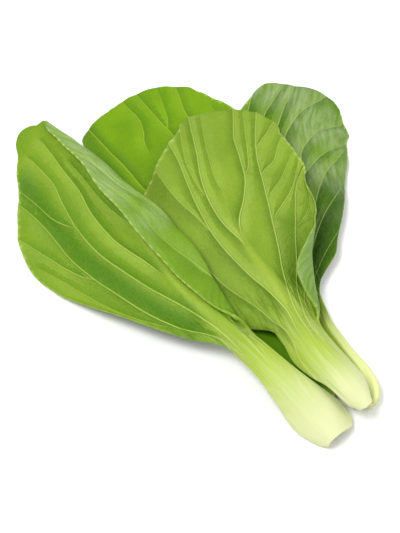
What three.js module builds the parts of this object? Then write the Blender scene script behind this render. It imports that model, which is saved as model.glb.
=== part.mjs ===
import * as THREE from 'three';

// Four loose leaves of one bok choy, fanned on a surface with their cut ends together.
// Millimetres, Z up, Y from the cut ends towards the blade tips, X to the right.

// Driving dimensions
const BLADE = 0.8;
const RIB_RISE = 0.6;
const RIB_HALF_WIDTH = 2.4;
const RIB_CURVE = 0.85;
const INNER_SHARE = 0.4;
const RIB_FADE = 0.75;
const MARGIN_WAVE = 0.9;
const WAVE_LENGTH = 31;
const WAVE_START = 25;
const RIGHT_WAVE_LAG = 1.7;
const CUT_REACH = 12;
const EDGE_THINS = [20, 12];
const SWELL_POWER = 0.8;
const RIDGE_SHARE = 0.55;
const RIDGE_NARROWS = [8, 22];
const TIP_REACH = 20;
const FLARE_LENGTH = 12;
const FLARE_SHARE = 0.2;
const FLAT_SPOT_SKIN = 0.9;
const FLAT_SPOT_REACH = 0.15;
const PILE_CENTRE = new THREE.Vector2(28.35, 6.9);

// Shares across one half of a leaf: 0 to 1 crosses the thick stalk and midrib, 1 to 2 the thin blade
const STALK_COLUMNS = [0, 0.45, 0.8, 1];
const BLADE_COLUMNS = [1.1, 1.26, 1.44, 1.62, 1.82, 2];
const FOLDED_COLUMNS = [1.14, 1.28, 1.34, 1.38, 1.42, 1.46, 1.51, 1.64, 1.82, 2];
const BEND_STEPS = 48;

// Where grid lines cross the stalk, the start of the blade and the tip, as shares of each stretch
const STALK_LINES = [0, 0.05, 0.12, 0.22, 0.34, 0.48, 0.64, 0.82, 1];
const FAN_LENGTH = 10;
const FAN_LINES = [0.3, 0.55, 0.78];
const TIP_LINES = [0.3, 0.56, 0.78, 0.92, 1];

// Each table below is a list of [station, value]: the station is the distance in mm along the midrib
// from the cut end. reach is the half width, climb how far a rib runs ahead on its way to the margin,
// arch and bends are in degrees, and a bend is [first share, width in shares, turn table]. cut is how
// deep the cut end is hollowed, in the middle and at each edge; crown is how far the tip's outline bulges.

const FRONT_LEFT = {
  name: 'leaf_front_left',
  colour: 0x8fb03c,
  outerFaceUp: true,
  wavePhase: 0.4,
  spine: [
    [-1.3, -96, 6.3], [-3.7, -83, 9.7], [-5.4, -69, 12.3], [-7.4, -51, 14], [-10.2, -33, 15],
    [-14.2, -4, 17], [-13.2, 38, 18], [-13.3, 77, 19], [-16.6, 107, 17],
  ],
  roll: [[0, -30], [40, -22], [90, -6], [130, -2], [205, 0]],
  stalkEdge: 2.1,
  core: [[0, 5.5], [14, 7], [40, 6], [62, 4.8], [78, 3.4], [100, 2.4], [140, 1.5], [205, 0.9]],
  rib: [[0, 3], [14, 7.6], [40, 5], [56, 4.4], [70, 4.9], [84, 3.8], [105, 2.8], [150, 1.8], [205, 0.8]],
  bladeFrom: 64,
  cut: 1,
  left: {
    cut: 0.4,
    crown: 4.4,
    ribs: [67, 82, 98, 115, 134, 154],
    reach: [
      [0, 4.4], [3, 8.8], [8, 11.5], [15, 11.5], [28, 7.8], [46, 5], [57, 4.9], [74, 13.4], [94, 24.8],
      [112, 36.6], [128, 45], [144, 48.4], [159, 45.8], [170, 40.8], [177, 37.4], [186, 29.6], [194, 23],
      [200, 16.5],
    ],
    climb: [
      [0, 0], [54, 0], [67, 34], [80, 60], [96, 70], [115, 64], [135, 51], [155, 34], [175, 16],
      [205, -5],
    ],
    arch: [[0, -45], [14, -48], [40, -42], [62, -32], [80, -10], [205, -4]],
    tilt: [[0, -2], [60, -2], [80, -9], [140, -12], [205, -9]],
    bends: [
      [0, 1, [[0, -20], [50, -18], [60, 0], [205, 0]]],
      [0.2, 0.3, [[0, 0], [62, 0], [75, -25], [110, -25], [150, -16], [205, -8]]],
      [0.6, 0.3, [[0, 0], [62, 0], [75, 24], [110, 26], [150, 20], [205, 10]]],
    ],
  },
  right: {
    cut: -0.4,
    crown: 0,
    ribs: [62, 75, 90, 106, 124, 144],
    columns: FOLDED_COLUMNS,
    reach: [
      [0, 12], [3, 15.8], [9, 16.6], [15, 15.4], [22, 13.4], [30, 11.4], [45, 9], [56, 8], [66, 10.4],
      [76, 15.2], [86, 19.8], [95, 24.2], [104, 27.4], [114, 31.4], [127, 33.8], [140, 34.8],
      [152, 34.2], [164, 28.4], [175, 23], [187, 17], [194, 8.8],
    ],
    climb: [
      [0, 0], [54, 0], [63, 16], [76, 40], [90, 52], [108, 54], [128, 48], [150, 36], [175, 16],
      [205, -11],
    ],
    arch: [[0, -45], [14, -48], [40, -42], [62, -32], [80, -6], [205, 0]],
    tilt: [[0, -2], [50, -2], [70, 4], [205, 5]],
    bends: [
      [0, 1, [[0, -20], [50, -18], [60, 0], [205, 0]]],
      [0.3, 0.21, [[0, 0], [54, 0], [62, 150], [75, 172], [165, 170], [205, 110]]],
    ],
  },
};

const FRONT_MIDDLE = {
  name: 'leaf_front_middle',
  colour: 0x9bbb4a,
  outerFaceUp: true,
  wavePhase: 2.1,
  spine: [
    [16.6, -91, 11.8], [15.8, -81, 14.2], [15.7, -64, 14.4], [16.4, -49, 16], [19, -31, 17],
    [21, -2, 19], [28.6, 22, 20], [41, 44, 20], [56.4, 65, 18],
  ],
  roll: [[0, -6], [20, -2], [50, 2], [90, 0], [165, -2]],
  stalkEdge: 2.1,
  core: [[0, 5.5], [12, 6.5], [35, 5.5], [48, 4.4], [62, 3.2], [85, 2.2], [120, 1.4], [165, 0.9]],
  rib: [[0, 2.4], [5, 5], [12, 6.4], [35, 7], [50, 6.4], [66, 4.8], [85, 3.2], [120, 2], [165, 0.8]],
  bladeFrom: 50,
  cut: -2.4,
  left: {
    cut: 0.2,
    crown: 0,
    ribs: [52, 64, 78, 93, 110, 128],
    reach: [
      [0, 3.8], [3, 5.6], [9, 6.3], [15, 7.1], [22, 9.8], [32, 12], [40, 11], [45, 11], [48, 13], [51, 17],
      [56, 22], [64, 26], [76, 30], [90, 34], [104, 36], [120, 37], [134, 30], [140, 28.2], [147, 22.9],
      [153, 18.1],
    ],
    climb: [
      [0, 0], [40, 0], [52, 30], [64, 50], [78, 56], [93, 51], [110, 39], [128, 23], [145, 8],
      [165, -11],
    ],
    arch: [[0, -44], [36, -40], [52, -30], [70, -8], [165, -4]],
    tilt: [[0, -2], [47, -2], [55, -7], [66, -7], [82, 0], [165, -2]],
    bends: [
      [0, 1, [[0, -34], [16, -30], [26, -14], [36, -12], [46, 0], [165, 0]]],
      [0.35, 0.2, [[0, 0], [42, -20], [48, -24], [54, 0], [165, 0]]],
      [0.58, 0.2, [[0, 0], [42, 0], [50, -12], [60, -12], [80, -18], [105, -16], [125, -10], [165, 0]]],
    ],
  },
  right: {
    cut: 0.4,
    crown: 1.5,
    ribs: [48, 59, 71, 85, 101, 119],
    reach: [
      [0, 4], [2, 7], [5, 9.4], [9, 10.8], [14, 11.4], [22, 11.8], [36, 10.2], [41, 10.4], [46, 15],
      [51, 19], [58, 22], [66, 26], [72, 30], [86, 37], [100, 41], [118, 39.5], [130, 37.7], [139, 34.4],
      [147, 31.3], [153, 28.3],
    ],
    climb: [
      [0, 0], [38, 0], [48, 22], [60, 44], [74, 54], [90, 51], [108, 40], [127, 24], [145, 8],
      [165, -11],
    ],
    arch: [[0, -44], [36, -40], [52, -30], [70, -8], [165, -4]],
    tilt: [[0, -2], [50, -2], [70, 0], [165, -2]],
    bends: [
      [0, 1, [[0, -14], [36, -12], [46, 0], [165, 0]]],
      [0.44, 0.28, [[0, 0], [38, 0], [41, 110], [44, 160], [46, 150], [49, 70], [53, 0], [165, 0]]],
      [0.8, 0.2, [[0, 0], [44, 0], [48, 40], [52, 60], [58, 110], [66, 80], [76, 30], [88, 0], [165, 0]]],
    ],
  },
};

const BACK_LEFT = {
  name: 'leaf_back_left',
  colour: 0x7fb029,
  outerFaceUp: false,
  wavePhase: 3.3,
  spine: [
    [7, -82, 2.5], [7, -62, 2.5], [7, -46, 3.2], [10, -15, 5.5], [14, 16, 7.5],
    [18, 64, 8.5], [19, 82, 8], [22, 104, 6.5],
  ],
  roll: [[0, 0], [186, 0]],
  stalkEdge: 2.1,
  core: [[0, 5], [12, 5.6], [35, 5], [60, 4.2], [80, 2.8], [110, 1.8], [150, 1.2], [186, 0.9]],
  rib: [[0, 4], [12, 6.4], [35, 6], [60, 5.2], [75, 4.2], [100, 3], [150, 2], [186, 0.8]],
  bladeFrom: 62,
  cut: 2,
  left: {
    cut: 2,
    crown: -1.5,
    ribs: [68, 82, 97, 113, 130, 149],
    reach: [
      [0, 5], [6, 6], [12, 7], [22, 7.6], [40, 7.4], [56, 7], [68, 11], [80, 20], [95, 28], [110, 33],
      [130, 34], [150, 30.5], [163, 27], [170, 24.5], [176, 21.5],
    ],
    climb: [
      [0, 0], [55, 0], [68, 30], [82, 52], [97, 56], [113, 49], [130, 38], [149, 23], [165, 9],
      [187, -11],
    ],
    arch: [[0, 34], [40, 32], [60, 20], [80, 1], [186, 0]],
    tilt: [[0, 2], [60, 2], [80, 0], [120, -3], [186, -8]],
    bends: [
      [0, 1, [[0, 10], [48, 8], [58, 0], [186, 0]]],
      [0.5, 0.25, [[0, 0], [80, 0], [100, -16], [186, -24]]],
    ],
  },
  right: {
    cut: 4,
    crown: 3,
    ribs: [63, 75, 89, 105, 121, 139],
    reach: [
      [0, 6], [6, 7.4], [12, 8], [22, 8], [40, 7.4], [56, 7], [68, 11], [80, 20], [95, 31], [110, 40],
      [130, 46], [150, 48.1], [162, 43.9], [171, 41.1], [176, 38.5],
    ],
    climb: [
      [0, 0], [53, 0], [64, 24], [77, 48], [92, 56], [109, 52], [127, 41], [147, 26], [165, 10],
      [187, -11],
    ],
    arch: [[0, 34], [40, 32], [60, 22], [80, 6], [186, 2]],
    tilt: [[0, 2], [55, 2], [75, 5], [140, 4], [187, 5]],
    bends: [[0, 1, [[0, 10], [48, 8], [58, 0], [186, 0]]]],
  },
};

const BACK_RIGHT = {
  name: 'leaf_back_right',
  colour: 0x79a456,
  outerFaceUp: false,
  wavePhase: 4.6,
  spine: [
    [18.8, -89.6, 2.6], [22.2, -83.4, 2.5], [24.5, -74, 2.5], [25.5, -62, 3], [28, -46, 3.8], [36, -24, 5],
    [50, 6, 6], [63, 33, 6], [76, 54, 6], [97, 73, 5],
  ],
  roll: [[0, 2], [67, 4], [187, 2]],
  stalkEdge: 3.6,
  core: [[0, 5], [19, 5.6], [42, 5], [57, 4], [77, 2.6], [110, 1.7], [150, 1.2], [187, 0.9]],
  rib: [[0, 4], [19, 6.4], [42, 5.6], [57, 5], [72, 4], [97, 3], [147, 1.8], [187, 0.8]],
  bladeFrom: 60,
  cut: 1,
  left: {
    cut: 0,
    crown: 0,
    ribs: [65, 78, 93, 109, 126, 144],
    reach: [
      [0, 6], [7, 7], [13, 8], [19, 8.4], [29, 8], [45, 7], [55, 7], [65, 10], [77, 15], [92, 20], [107, 22],
      [122, 22.5], [147, 18.5], [161, 14.5], [174, 10],
    ],
    climb: [
      [0, 0], [52, 0], [65, 30], [78, 50], [93, 55], [109, 48], [126, 36], [144, 22], [162, 8],
      [187, -12],
    ],
    arch: [[0, 38], [42, 34], [57, 22], [77, 0], [187, -2]],
    tilt: [[0, 2], [51, 2], [63, -7], [187, -8]],
    bends: [[0, 1, [[0, 14], [47, 10], [57, 0], [187, 0]]]],
  },
  right: {
    cut: 0,
    crown: 2,
    ribs: [60, 72, 86, 101, 118, 136],
    reach: [
      [0, 5], [3, 7.4], [8, 8.8], [14, 8.4], [22, 7.4], [34, 6.8], [45, 6.4], [57, 6.4], [66, 9.6],
      [72, 14], [77, 18.8], [86, 21.8], [96, 26], [107, 30], [118, 33.4], [132, 36.9], [147, 40.3],
      [160, 40.6], [168, 39], [174, 36.7], [179, 33.2],
    ],
    climb: [
      [0, 0], [51, 0], [61, 24], [74, 46], [89, 56], [105, 53], [123, 41], [143, 26], [162, 11],
      [187, -8],
    ],
    arch: [[0, 38], [42, 34], [57, 22], [77, 2], [187, -2]],
    tilt: [[0, 2], [57, 2], [77, 0], [187, -2]],
    bends: [
      [0, 1, [[0, 14], [47, 10], [57, 0], [187, 0]]],
      [0.6, 0.4, [[0, 0], [62, 0], [77, -20], [107, -36], [157, -34], [187, -20]]],
    ],
  },
};

// Value of a smooth curve through a table, without overshoot and flat beyond its ends
function along(table, station) {
  const last = table.length - 1;
  const at = THREE.MathUtils.clamp(station, table[0][0], table[last][0]);
  let i = 0;
  while (i < last - 1 && at >= table[i + 1][0]) i += 1;
  const slope = (k) => (table[k + 1][1] - table[k][1]) / (table[k + 1][0] - table[k][0]);
  const tangent = (k) => {
    if (k === 0) return slope(0);
    if (k === last) return slope(last - 1);
    const product = slope(k - 1) * slope(k);
    return product > 0 ? (2 * product) / (slope(k - 1) + slope(k)) : 0;
  };
  const gap = table[i + 1][0] - table[i][0];
  const u = (at - table[i][0]) / gap;
  const start = (2 * u ** 3 - 3 * u ** 2 + 1) * table[i][1] + (u ** 3 - 2 * u ** 2 + u) * gap * tangent(i);
  const end = (3 * u ** 2 - 2 * u ** 3) * table[i + 1][1] + (u ** 3 - u ** 2) * gap * tangent(i + 1);
  return start + end;
}

const clamp01 = (value) => THREE.MathUtils.clamp(value, 0, 1);
const radians = THREE.MathUtils.degToRad;

// The midrib's curve through a leaf's spine points
function midribOf(leaf) {
  const points = leaf.spine.map(([x, y, z]) => new THREE.Vector3(x, y, z));
  const midrib = new THREE.CatmullRomCurve3(points, false, 'catmullrom', 0.5);
  midrib.arcLengthDivisions = 600;
  return midrib;
}

// Point on the midrib with the directions out to the right and up from the leaf there
function frameAt(leaf, midrib, station) {
  const length = midrib.getLength();
  const u = clamp01(station / length);
  const tangent = midrib.getTangentAt(u);
  const origin = midrib.getPointAt(u).addScaledVector(tangent, station - u * length);
  const up = new THREE.Vector3(0, 0, 1).addScaledVector(tangent, -tangent.z).normalize();
  const across = new THREE.Vector3().crossVectors(tangent, up);
  const roll = radians(along(leaf.roll, station));
  const rolledAcross = across.clone().multiplyScalar(Math.cos(roll)).addScaledVector(up, -Math.sin(roll));
  const rolledUp = up.clone().multiplyScalar(Math.cos(roll)).addScaledVector(across, Math.sin(roll));
  return { origin, across: rolledAcross, up: rolledUp };
}

// Slope in radians of the leaf's cross section at a share of its half width
function slopeAt(leaf, side, station, share) {
  const bladeness = THREE.MathUtils.smoothstep(station, leaf.bladeFrom - FLARE_LENGTH, leaf.bladeFrom);
  const flare = bladeness * THREE.MathUtils.smoothstep(share - 1, 0, FLARE_SHARE);
  let degrees = along(side.tilt, station) + along(side.arch, station) * Math.min(share, 1) * (1 - flare);
  for (const [first, width, turn] of side.bends) {
    degrees += along(turn, station) * THREE.MathUtils.smoothstep(share - 1, first, first + width);
  }
  return radians(degrees);
}

// How far out and how far up the cross section gets at a share of its half width
function sectionAt(leaf, side, station, share) {
  const rib = along(leaf.rib, station);
  const blade = along(side.reach, station + along(side.climb, station)) - rib;
  let out = 0;
  let rise = 0;
  for (let k = 0; k < BEND_STEPS; k += 1) {
    const here = (share * (k + 0.5)) / BEND_STEPS;
    const step = ((here < 1 ? rib : blade) * share) / BEND_STEPS;
    out += Math.cos(slopeAt(leaf, side, station, here)) * step;
    rise += Math.sin(slopeAt(leaf, side, station, here)) * step;
  }
  return { out, rise };
}

// Thickness at a share of the half width, swelling from the blade to the stalk's or midrib's core
function thicknessAt(leaf, station, share) {
  const [before, after] = EDGE_THINS;
  const thinned = THREE.MathUtils.smoothstep(station, leaf.bladeFrom - before, leaf.bladeFrom + after);
  const edge = THREE.MathUtils.lerp(leaf.stalkEdge, BLADE, thinned);
  const [ahead, beyond] = RIDGE_NARROWS;
  const narrowed = THREE.MathUtils.smoothstep(station, leaf.bladeFrom - ahead, leaf.bladeFrom + beyond);
  const swelling = share / THREE.MathUtils.lerp(1, RIDGE_SHARE, narrowed);
  return edge + (along(leaf.core, station) - edge) * clamp01(1 - swelling ** 2) ** SWELL_POWER;
}

// Points on the upper and the lower face for one grid line and one share of the half width
function facesAt(leaf, midrib, sign, line, share) {
  const side = sign < 0 ? leaf.left : leaf.right;
  const bladeShare = clamp01(share - 1);
  const middle = (line.left + line.right) / 2;
  const own = sign < 0 ? line.left : line.right;
  const station = middle + (own - middle) * Math.min(share, 1);
  const length = midrib.getLength();
  const tipness = THREE.MathUtils.smoothstep(station, length - TIP_REACH, length);
  const round = 1 - Math.sqrt(1 - bladeShare ** 2);
  const climbed = along(side.climb, station) * THREE.MathUtils.lerp(bladeShare ** RIB_CURVE, round, tipness);
  const crowned = side.crown * tipness * 4 * bladeShare * (1 - bladeShare);
  const atCut = clamp01(1 - station / CUT_REACH) ** 2;
  const hollow = THREE.MathUtils.lerp(leaf.cut, side.cut, (share / 2) ** 2) * atCut;
  const frame = frameAt(leaf, midrib, station + climbed + crowned + hollow);
  const section = sectionAt(leaf, side, station, share);
  const slope = slopeAt(leaf, side, station, share);
  const normal = frame.up.clone().multiplyScalar(Math.cos(slope));
  normal.addScaledVector(frame.across, -sign * Math.sin(slope));
  const bladeness = THREE.MathUtils.smoothstep(station, leaf.bladeFrom, leaf.bladeFrom + WAVE_START);
  const phase = leaf.wavePhase + (sign > 0 ? RIGHT_WAVE_LAG : 0);
  const swing = Math.sin((2 * Math.PI * (station + climbed)) / WAVE_LENGTH + phase);
  const wave = MARGIN_WAVE * bladeness * bladeShare ** 3 * swing;
  const point = frame.origin.clone()
    .addScaledVector(frame.across, sign * section.out)
    .addScaledVector(frame.up, section.rise)
    .addScaledVector(normal, wave);
  const thickness = thicknessAt(leaf, station, share);
  const ridge = line.onRib && share >= 1 ? RIB_RISE * (1 - RIB_FADE * bladeShare) : 0;
  const outer = thickness * (1 - INNER_SHARE) + ridge;
  const inner = thickness * INNER_SHARE;
  return {
    upper: point.clone().addScaledVector(normal, leaf.outerFaceUp ? outer : inner),
    lower: point.clone().addScaledVector(normal, leaf.outerFaceUp ? -inner : -outer),
  };
}

// Grid lines across the leaf: plain ones up the stalk, three for each pair of side ribs, then the tip
function gridLines(leaf, length) {
  const lines = [];
  const plain = (left, right) => lines.push({ left, right, onRib: false });
  const stalkEnd = leaf.right.ribs[0] - FAN_LENGTH;
  for (const share of STALK_LINES) plain(share * stalkEnd, share * stalkEnd);
  for (const share of FAN_LINES) {
    const left = THREE.MathUtils.lerp(stalkEnd, leaf.left.ribs[0] - RIB_HALF_WIDTH, share);
    const right = THREE.MathUtils.lerp(stalkEnd, leaf.right.ribs[0] - RIB_HALF_WIDTH, share);
    plain(left, right);
  }
  leaf.left.ribs.forEach((left, k) => {
    const right = leaf.right.ribs[k];
    plain(left - RIB_HALF_WIDTH, right - RIB_HALF_WIDTH);
    lines.push({ left, right, onRib: true });
    plain(left + RIB_HALF_WIDTH, right + RIB_HALF_WIDTH);
    const nextLeft = leaf.left.ribs[k + 1];
    if (nextLeft) plain((left + nextLeft) / 2, (right + leaf.right.ribs[k + 1]) / 2);
  });
  const lastLeft = leaf.left.ribs.at(-1) + RIB_HALF_WIDTH;
  const lastRight = leaf.right.ribs.at(-1) + RIB_HALF_WIDTH;
  for (const share of TIP_LINES) {
    plain(THREE.MathUtils.lerp(lastLeft, length, share), THREE.MathUtils.lerp(lastRight, length, share));
  }
  return lines;
}

// What would dip below the resting surface, or all but touch it, becomes a flat spot on it
function pressedFlat({ upper, lower }) {
  if (lower.z < FLAT_SPOT_REACH) {
    lower.z = 0;
    upper.z = Math.max(upper.z, FLAT_SPOT_SKIN);
  }
  return { upper, lower };
}

// One closed body from a grid of upper and lower points, split into triangles alike on both faces
function closedSlab(grid) {
  const rows = grid.length;
  const columns = grid[0].length;
  const positions = [];
  for (const key of ['upper', 'lower']) {
    for (const row of grid) {
      for (const cell of row) positions.push(cell[key].x, cell[key].y, cell[key].z);
    }
  }
  const upper = (i, j) => i * columns + j;
  const lower = (i, j) => rows * columns + i * columns + j;
  const index = [];
  const quad = (a, b, c, d) => index.push(a, b, c, a, c, d);
  for (let i = 0; i < rows - 1; i += 1) {
    for (let j = 0; j < columns - 1; j += 1) {
      const rising = grid[i][j].upper.distanceTo(grid[i + 1][j + 1].upper);
      const falling = grid[i][j + 1].upper.distanceTo(grid[i + 1][j].upper);
      if (rising <= falling) {
        quad(upper(i, j), upper(i, j + 1), upper(i + 1, j + 1), upper(i + 1, j));
        index.push(lower(i, j), lower(i + 1, j + 1), lower(i, j + 1));
        index.push(lower(i, j), lower(i + 1, j), lower(i + 1, j + 1));
      } else {
        quad(upper(i, j + 1), upper(i + 1, j + 1), upper(i + 1, j), upper(i, j));
        index.push(lower(i, j + 1), lower(i + 1, j), lower(i + 1, j + 1));
        index.push(lower(i, j + 1), lower(i, j), lower(i + 1, j));
      }
    }
  }
  const last = columns - 1;
  for (let i = 0; i < rows - 1; i += 1) {
    quad(upper(i, 0), upper(i + 1, 0), lower(i + 1, 0), lower(i, 0));
    quad(upper(i + 1, last), upper(i, last), lower(i, last), lower(i + 1, last));
  }
  for (let j = 0; j < last; j += 1) {
    quad(upper(0, j + 1), upper(0, j), lower(0, j), lower(0, j + 1));
    quad(upper(rows - 1, j), upper(rows - 1, j + 1), lower(rows - 1, j + 1), lower(rows - 1, j));
  }
  const geometry = new THREE.BufferGeometry();
  geometry.setAttribute('position', new THREE.Float32BufferAttribute(positions, 3));
  geometry.setIndex(index);
  geometry.computeVertexNormals();
  return geometry;
}

// One leaf from the cut end of its stalk to the tip of its blade
function leafMesh(leaf) {
  const midrib = midribOf(leaf);
  const leftShares = [...STALK_COLUMNS, ...(leaf.left.columns ?? BLADE_COLUMNS)].slice(1).reverse();
  const rightShares = [...STALK_COLUMNS, ...(leaf.right.columns ?? BLADE_COLUMNS)];
  const grid = gridLines(leaf, midrib.getLength()).map((line) => [
    ...leftShares.map((share) => pressedFlat(facesAt(leaf, midrib, -1, line, share))),
    ...rightShares.map((share) => pressedFlat(facesAt(leaf, midrib, 1, line, share))),
  ]);
  const material = new THREE.MeshStandardMaterial({ color: leaf.colour, roughness: 0.5, metalness: 0 });
  const mesh = new THREE.Mesh(closedSlab(grid), material);
  mesh.name = leaf.name;
  mesh.position.set(-PILE_CENTRE.x, -PILE_CENTRE.y, 0);
  return mesh;
}

const bokChoy = new THREE.Group();
bokChoy.name = 'bok_choy';
for (const leaf of [FRONT_LEFT, FRONT_MIDDLE, BACK_LEFT, BACK_RIGHT]) bokChoy.add(leafMesh(leaf));

export default bokChoy;
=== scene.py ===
import math
import random

import bmesh
import bpy
import numpy as np
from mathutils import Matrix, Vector


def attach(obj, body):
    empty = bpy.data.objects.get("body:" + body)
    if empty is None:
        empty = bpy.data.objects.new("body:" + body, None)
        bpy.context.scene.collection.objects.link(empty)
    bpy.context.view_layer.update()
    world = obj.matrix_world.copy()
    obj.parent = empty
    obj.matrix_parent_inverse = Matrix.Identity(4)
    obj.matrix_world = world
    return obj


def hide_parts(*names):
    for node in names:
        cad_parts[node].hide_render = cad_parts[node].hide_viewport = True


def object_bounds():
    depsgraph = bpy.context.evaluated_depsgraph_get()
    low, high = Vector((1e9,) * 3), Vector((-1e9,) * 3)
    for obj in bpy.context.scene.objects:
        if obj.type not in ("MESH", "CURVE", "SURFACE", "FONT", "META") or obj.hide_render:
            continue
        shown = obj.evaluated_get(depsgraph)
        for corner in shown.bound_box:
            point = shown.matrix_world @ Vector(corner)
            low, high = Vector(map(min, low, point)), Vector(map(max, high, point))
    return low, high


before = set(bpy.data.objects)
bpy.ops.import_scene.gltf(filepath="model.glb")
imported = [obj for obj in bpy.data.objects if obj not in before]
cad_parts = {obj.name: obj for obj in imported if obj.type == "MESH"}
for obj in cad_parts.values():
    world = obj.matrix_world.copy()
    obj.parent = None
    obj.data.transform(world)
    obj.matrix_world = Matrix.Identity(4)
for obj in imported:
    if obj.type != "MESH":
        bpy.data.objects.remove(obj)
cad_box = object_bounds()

# Lengths are in mm until a mesh is made, as in the leaf tables
MM = 0.001

# Thickness and section of a leaf
BLADE = 0.8
MARGIN_THINS = 0.4
RIDGE_SHARE = 0.55
RIDGE_NARROWS = (8, 22)
INNER_SHARE = 0.4
EDGE_THINS = (20, 12)
SWELL_POWER = 1.3
FLARE_LENGTH = 12
FLARE_SHARE = 0.2

# Outline and waves of a leaf
RIB_CURVE = 0.85
MARGIN_WAVE = 0.9
WAVE_LENGTH = 31
WAVE_START = 25
RIGHT_WAVE_LAG = 1.7
CUT_REACH = 12
TIP_REACH = 20
FAN_LENGTH = 10

# Fineness of the meshes
ROWS = 330
HALF_COLUMNS = 72
RIB_STEPS = 10
BLADE_STEPS = 40
SPINE_STEPS = 600
TANGENT_STEP = 0.0001

# Veins, puckers and teeth
SWELL_SMOOTHS = 60
VEIN_WIDTH = 1.1
VEIN_HEIGHT = 0.42
VEIN_FADES = 0.5
VEIN_RUNS_ON = 9
PUCKER = 0.75
PUCKER_REACH = 3.5
SWELL_HEIGHT = 0.22
TOOTH_SPACING = 4.4
TOOTH_DEPTH = 0.15
TOOTH_REACH = 1.2
RIM_LEAST = 0.12
RIDGE_INSIDE = 0.3
SWELL_WAVES = 7
SWELL_LENGTHS = (13, 34)
SWELL_SHARE = 4
FLAT_SPOT_SKIN = 0.7

# How main veins run down into the stalk: (times further out, mm further down), from the blade's foot
VEIN_ROOTS = ((1.7, 26), (1.4, 12))
ROOTED_BELOW = 5
VEIN_STARTS_IN = 0.22
VEIN_FIELD_REACH = 12
FAR = 99.0

# Twigs, the short side veins: ranges of a seeded draw, in mm and degrees
TWIG_FIRST = (8, 13)
TWIG_SPACING = (5, 9)
TWIG_LENGTH = (7, 13)
TWIG_ANGLE = (28, 46)
TWIG_BEND = (10, 26)
TWIG_STOPS = 3

# Colours of the skin that all leaves share, from 0 to 255 as they look, the painted sheen's highlight
# among them, and the tip of a tooth, linear
STALK_COLOUR = (158, 180, 66)
BASE_COLOUR = (206, 211, 160)
SHEEN_HIGHLIGHT = (190, 203, 160)
FLESH_COLOUR = (214, 222, 150)
BUNDLE_COLOUR = (166, 186, 92)
TOOTH_TIP = (0.5, 0.6, 0.2, 1)

# What the skin's node group takes, and its values for the two sides of a leaf
# The second colour, a darker green for patches and grain, also paints shade beside veins, in valleys and
# in the folds of pleats; the third, the veins' paler green, also paints highlights.
COLOURS = ("Blade", "Deep And Shade", "Vein And Highlight", "Stalk", "Base", "Sheen")
SHOWS = ("Vein Show", "Net Show", "Mottle", "Gloss", "Tooth Show", "Sheen Show", "Shade Side")
OUTER_SHOWS = (0.85, 0.04, 0.28, 0.5, 0.6, 0.0)
INNER_SHOWS = (0.95, 0.03, 0.28, 0.45, 0.8)
BUMP_HEIGHT = 0.0005
SPECULAR = 0.15

# Studio: name, place and size in metres, and power of each lamp
LAMPS = (
    ("key_light", (-0.45, 0.1, 1.0), 0.45, 9.5),
    ("fill_light", (0.7, -0.3, 0.8), 0.9, 4),
)
ROOM_BRIGHTNESS = 0.66
FLOOR_REACH = 3
FLOOR_DROP = 0.0002

# The pile's middle on the ground, and the camera that looks at it
PILE_CENTRE = (28.35, 6.9)
CAMERA_AZIMUTH = -35
CAMERA_ELEVATION = 55
CAMERA_LENS = 85
CAMERA_SENSOR = 36
PICTURE_HEIGHT = 533
SCALE_PER_PIXEL = 0.43
TARGET_HEIGHT = 14

# Each table below is a list of (station, value): the station is the distance in mm along the midrib
# from the cut end. reach is the half width, climb how far a rib runs ahead on its way to the margin,
# arch and bends are in degrees, and a bend is (first share, width in shares, turn table). cut is how
# deep the cut end is hollowed, in the middle and at each edge; crown is how far the tip bulges.
# A vein is (strength, points), its points (out from the midrib, along the leaf) in mm, left negative,
# and a valley, a line of painted shade, is (strength, half width, points). Colours are blade, deep and
# vein, and inner_stalk is stalk and base, from 0 to 255; deep also paints shade beside veins, in
# valleys and in the folds of pleats, vein also paints the highlight on each vein's lit side, and on the
# back leaves the inner stalk colour is darkened as painted shade of the stalks' hollows. The painted
# sheen shows from the station shine_from, and the base is white up to white_to. stalk_rounds is how
# often the stalk is smoothed, and shade_side the side of a vein where shade is painted.
# These tables weren't all chosen by hand: many reach values, the fold's among them, and many vein
# points are results of fitting programs that were run on points picked on the photo.

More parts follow.
